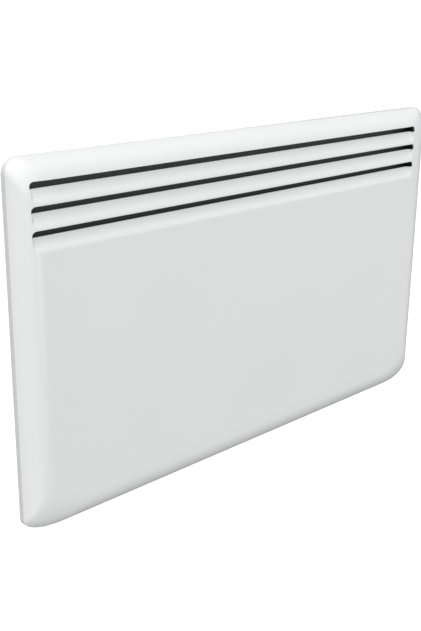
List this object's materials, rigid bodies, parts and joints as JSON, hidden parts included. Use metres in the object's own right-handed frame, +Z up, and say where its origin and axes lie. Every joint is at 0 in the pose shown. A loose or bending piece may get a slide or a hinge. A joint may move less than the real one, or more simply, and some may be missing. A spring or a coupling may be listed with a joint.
{
  "type": "wall panel convector heater",
  "caption": "White wall-hung electric panel convector with a rolled-edge front, full-width louvres near the top and controls on its right-hand end.",
  "frame": {"origin": "middle of the wall bracket's centre rail, on its back face, which is the wall plane", "axes": "+X along the heater's width to its right-hand end as seen from the room, +Y into the wall, +Z up"},
  "size_m": [0.675, 0.0842, 0.4],
  "materials": {
    "white_powder_coat": "fine orange-peel powder coat, satin",
    "dark_powder_coat": "dark grey coat, matt",
    "zinc_plate": "galvanised sheet and zinc-plated screws",
    "aluminised_steel": "aluminised sheet, semi-bright",
    "aluminium": "as-cast aluminium, satin",
    "element_sheath": "heat-tinted steel sheath",
    "ceramic": "unglazed steatite",
    "nickel": "nickel-plated, semi-bright",
    "white_plastic": "fine-grained moulding, satin",
    "grey_plastic": "glass-filled moulding, matt",
    "black_plastic": "smooth black moulding",
    "black_rubber": "soft matt rubber",
    "amber_lens": "clear amber moulding",
    "lamp_glass": "clear glass",
    "copper": "bright copper tube",
    "brown_lead": "silicone insulation",
    "blue_lead": "silicone insulation",
    "earth_lead": "green and yellow insulation"
  },
  "bodies": {
    "bracket": {"wall_bracket": "zinc_plate", "hook_liner_left": "black_plastic", "hook_liner_right": "black_plastic"},
    "heater": {"front_panel": "white_powder_coat", "air_deflector": "dark_powder_coat", "rear_casing": "zinc_plate", "casing_screw_1": "zinc_plate", "casing_screw_2": "zinc_plate", "casing_screw_3": "zinc_plate", "casing_screw_4": "zinc_plate", "casing_screw_5": "zinc_plate", "casing_screw_6": "zinc_plate", "deflector_screw_1": "zinc_plate", "deflector_screw_2": "zinc_plate", "element_fins": "aluminium", "element_rod": "element_sheath", "element_support_left": "zinc_plate", "element_bush_left": "ceramic", "element_terminal_left": "nickel", "support_screw_left": "zinc_plate", "element_support_right": "zinc_plate", "element_bush_right": "ceramic", "element_terminal_right": "nickel", "support_screw_right": "zinc_plate", "heat_shield": "aluminised_steel", "shield_rivet_1": "zinc_plate", "shield_rivet_2": "zinc_plate", "thermal_cutout": "black_plastic", "cutout_clip": "nickel", "control_housing": "white_plastic", "control_cover": "white_plastic", "cover_screw_1": "zinc_plate", "cover_screw_2": "zinc_plate", "housing_screw_1": "zinc_plate", "housing_screw_2": "zinc_plate", "thermostat_body": "grey_plastic", "switch_frame": "black_plastic", "indicator_lens": "amber_lens", "indicator_lamp": "lamp_glass", "terminal_block": "grey_plastic", "cable_gland": "black_rubber", "capillary_bulb": "copper", "lead_grommet": "black_rubber", "lead_supply": "brown_lead", "lead_switched": "brown_lead", "lead_heat": "brown_lead", "lead_bridge": "brown_lead", "lead_neutral": "blue_lead", "lead_earth": "earth_lead", "earth_screw": "zinc_plate"},
    "latch_left": {"latch_left": "white_plastic", "latch_clip_left": "zinc_plate"},
    "latch_right": {"latch_right": "white_plastic", "latch_clip_right": "zinc_plate"},
    "dial": {"thermostat_dial": "white_plastic", "dial_shaft": "nickel"},
    "rocker": {"switch_rocker": "black_plastic"}
  },
  "joints": [
    {"name": "heater_tilt", "type": "hinge", "parent": "bracket", "child": "heater", "pos_m": [0, -0.0305, -0.15], "axis": [1, 0, 0], "range_deg": [0, 20]},
    {"name": "latch_left_turn", "type": "hinge", "parent": "bracket", "child": "latch_left", "pos_m": [-0.17, -0.0278, 0.096], "axis": [0, 1, 0], "range_deg": [0, 90]},
    {"name": "latch_right_turn", "type": "hinge", "parent": "bracket", "child": "latch_right", "pos_m": [0.17, -0.0278, 0.096], "axis": [0, -1, 0], "range_deg": [0, 90]},
    {"name": "dial_turn", "type": "hinge", "parent": "heater", "child": "dial", "pos_m": [0.33, -0.0442, -0.076], "axis": [1, 0, 0], "range_deg": [0, 270]},
    {"name": "rocker_tip", "type": "hinge", "parent": "heater", "child": "rocker", "pos_m": [0.3225, -0.0442, -0.115], "axis": [0, -1, 0], "range_deg": [0, 16]}
  ]
}
